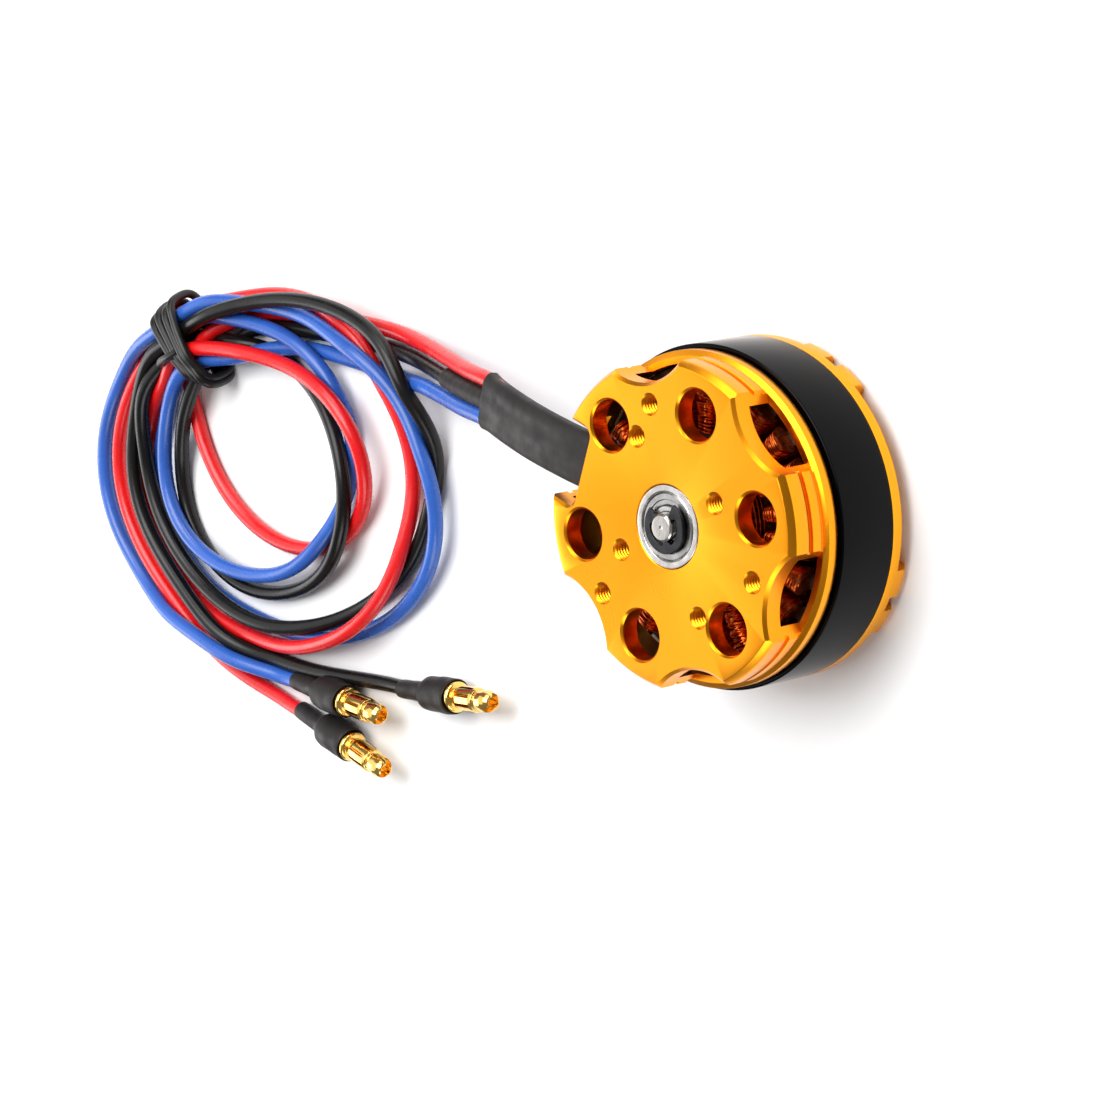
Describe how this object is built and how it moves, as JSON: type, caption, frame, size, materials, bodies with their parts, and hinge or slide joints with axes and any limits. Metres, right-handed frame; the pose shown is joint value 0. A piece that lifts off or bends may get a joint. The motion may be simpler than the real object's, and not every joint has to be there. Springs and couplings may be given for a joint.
{
  "type": "brushless outrunner motor",
  "caption": "Flat brushless outrunner motor with a vented mounting base, a turning bell, and three silicone leads coiled and tied beside it, ending in bullet connectors.",
  "frame": {"origin": "on the motor's axis, in the plane of the propeller face, which is the level it stands on", "axes": "+Z along the motor's axis from the propeller face to the mounting face, -X the way the leads leave the base"},
  "size_m": [0.16, 0.1012, 0.0232],
  "materials": {
    "base_gold": "gold anodised, satin machined",
    "bell_gold": "gold anodised, satin turned",
    "gloss_black": "gloss black coating on a steel ring",
    "lamination": "dark insulating coat on laminated steel",
    "enamelled_wire": "red-brown enamelled copper wire",
    "magnet": "nickel-plated magnet",
    "shield_steel": "pressed bright steel",
    "bearing_steel": "ground bearing steel",
    "shaft_steel": "ground and brushed end",
    "black_steel": "dark oxide spring steel",
    "red_silicone": "soft silicone sheath",
    "blue_silicone": "soft silicone sheath",
    "black_silicone": "soft silicone sheath",
    "lead_bundle": "turns of the three silicone leads",
    "tie_rubber": "soft black tie",
    "gold_plate": "gold-plated brass",
    "heat_shrink": "matt charcoal heat-shrink"
  },
  "bodies": {
    "stator": {"mount_base": "base_gold", "stator_core": "lamination", "winding_phase_u": "enamelled_wire", "winding_phase_v": "enamelled_wire", "winding_phase_w": "enamelled_wire", "front_bearing_outer_race": "bearing_steel", "front_bearing_upper_shield": "shield_steel", "front_bearing_lower_shield": "shield_steel", "rear_bearing_outer_race": "bearing_steel", "rear_bearing_upper_shield": "shield_steel", "rear_bearing_lower_shield": "shield_steel", "lead_sleeve": "heat_shrink", "joint_sleeve": "heat_shrink", "red_lead": "red_silicone", "red_lead_tail": "red_silicone", "red_boot": "heat_shrink", "red_connector": "gold_plate", "black_lead": "black_silicone", "black_lead_tail": "black_silicone", "black_boot": "heat_shrink", "black_connector": "gold_plate", "blue_lead": "blue_silicone", "blue_lead_tail": "blue_silicone", "blue_boot": "heat_shrink", "blue_connector": "gold_plate", "lead_coil": "lead_bundle", "coil_tie": "tie_rubber"},
    "rotor": {"shaft": "shaft_steel", "e_clip": "black_steel", "spacer_washer": "shaft_steel", "bell_cap": "bell_gold", "grub_screw_1": "black_steel", "grub_screw_2": "black_steel", "flux_ring": "gloss_black", "front_bearing_inner_race": "bearing_steel", "rear_bearing_inner_race": "bearing_steel", "magnet_01": "magnet", "magnet_02": "magnet", "magnet_03": "magnet", "magnet_04": "magnet", "magnet_05": "magnet", "magnet_06": "magnet", "magnet_07": "magnet", "magnet_08": "magnet", "magnet_09": "magnet", "magnet_10": "magnet", "magnet_11": "magnet", "magnet_12": "magnet", "magnet_13": "magnet", "magnet_14": "magnet", "magnet_15": "magnet", "magnet_16": "magnet", "magnet_17": "magnet", "magnet_18": "magnet", "magnet_19": "magnet", "magnet_20": "magnet", "magnet_21": "magnet", "magnet_22": "magnet"},
    "front_balls": {"front_bearing_balls": "bearing_steel"},
    "rear_balls": {"rear_bearing_balls": "bearing_steel"}
  },
  "joints": [
    {"name": "rotor_spin", "type": "hinge", "parent": "stator", "child": "rotor", "pos_m": [0, 0, 0], "axis": [0, 0, 1], "continuous": true},
    {"name": "front_balls_roll", "type": "hinge", "parent": "stator", "child": "front_balls", "pos_m": [0, 0, 0.02], "axis": [0, 0, 1], "continuous": true},
    {"name": "rear_balls_roll", "type": "hinge", "parent": "stator", "child": "rear_balls", "pos_m": [0, 0, 0.0073], "axis": [0, 0, 1], "continuous": true}
  ],
  "couplings": [
    {"joint": "front_balls_roll", "follows": "rotor_spin", "ratio": 0.3844},
    {"joint": "rear_balls_roll", "follows": "rotor_spin", "ratio": 0.3844}
  ]
}
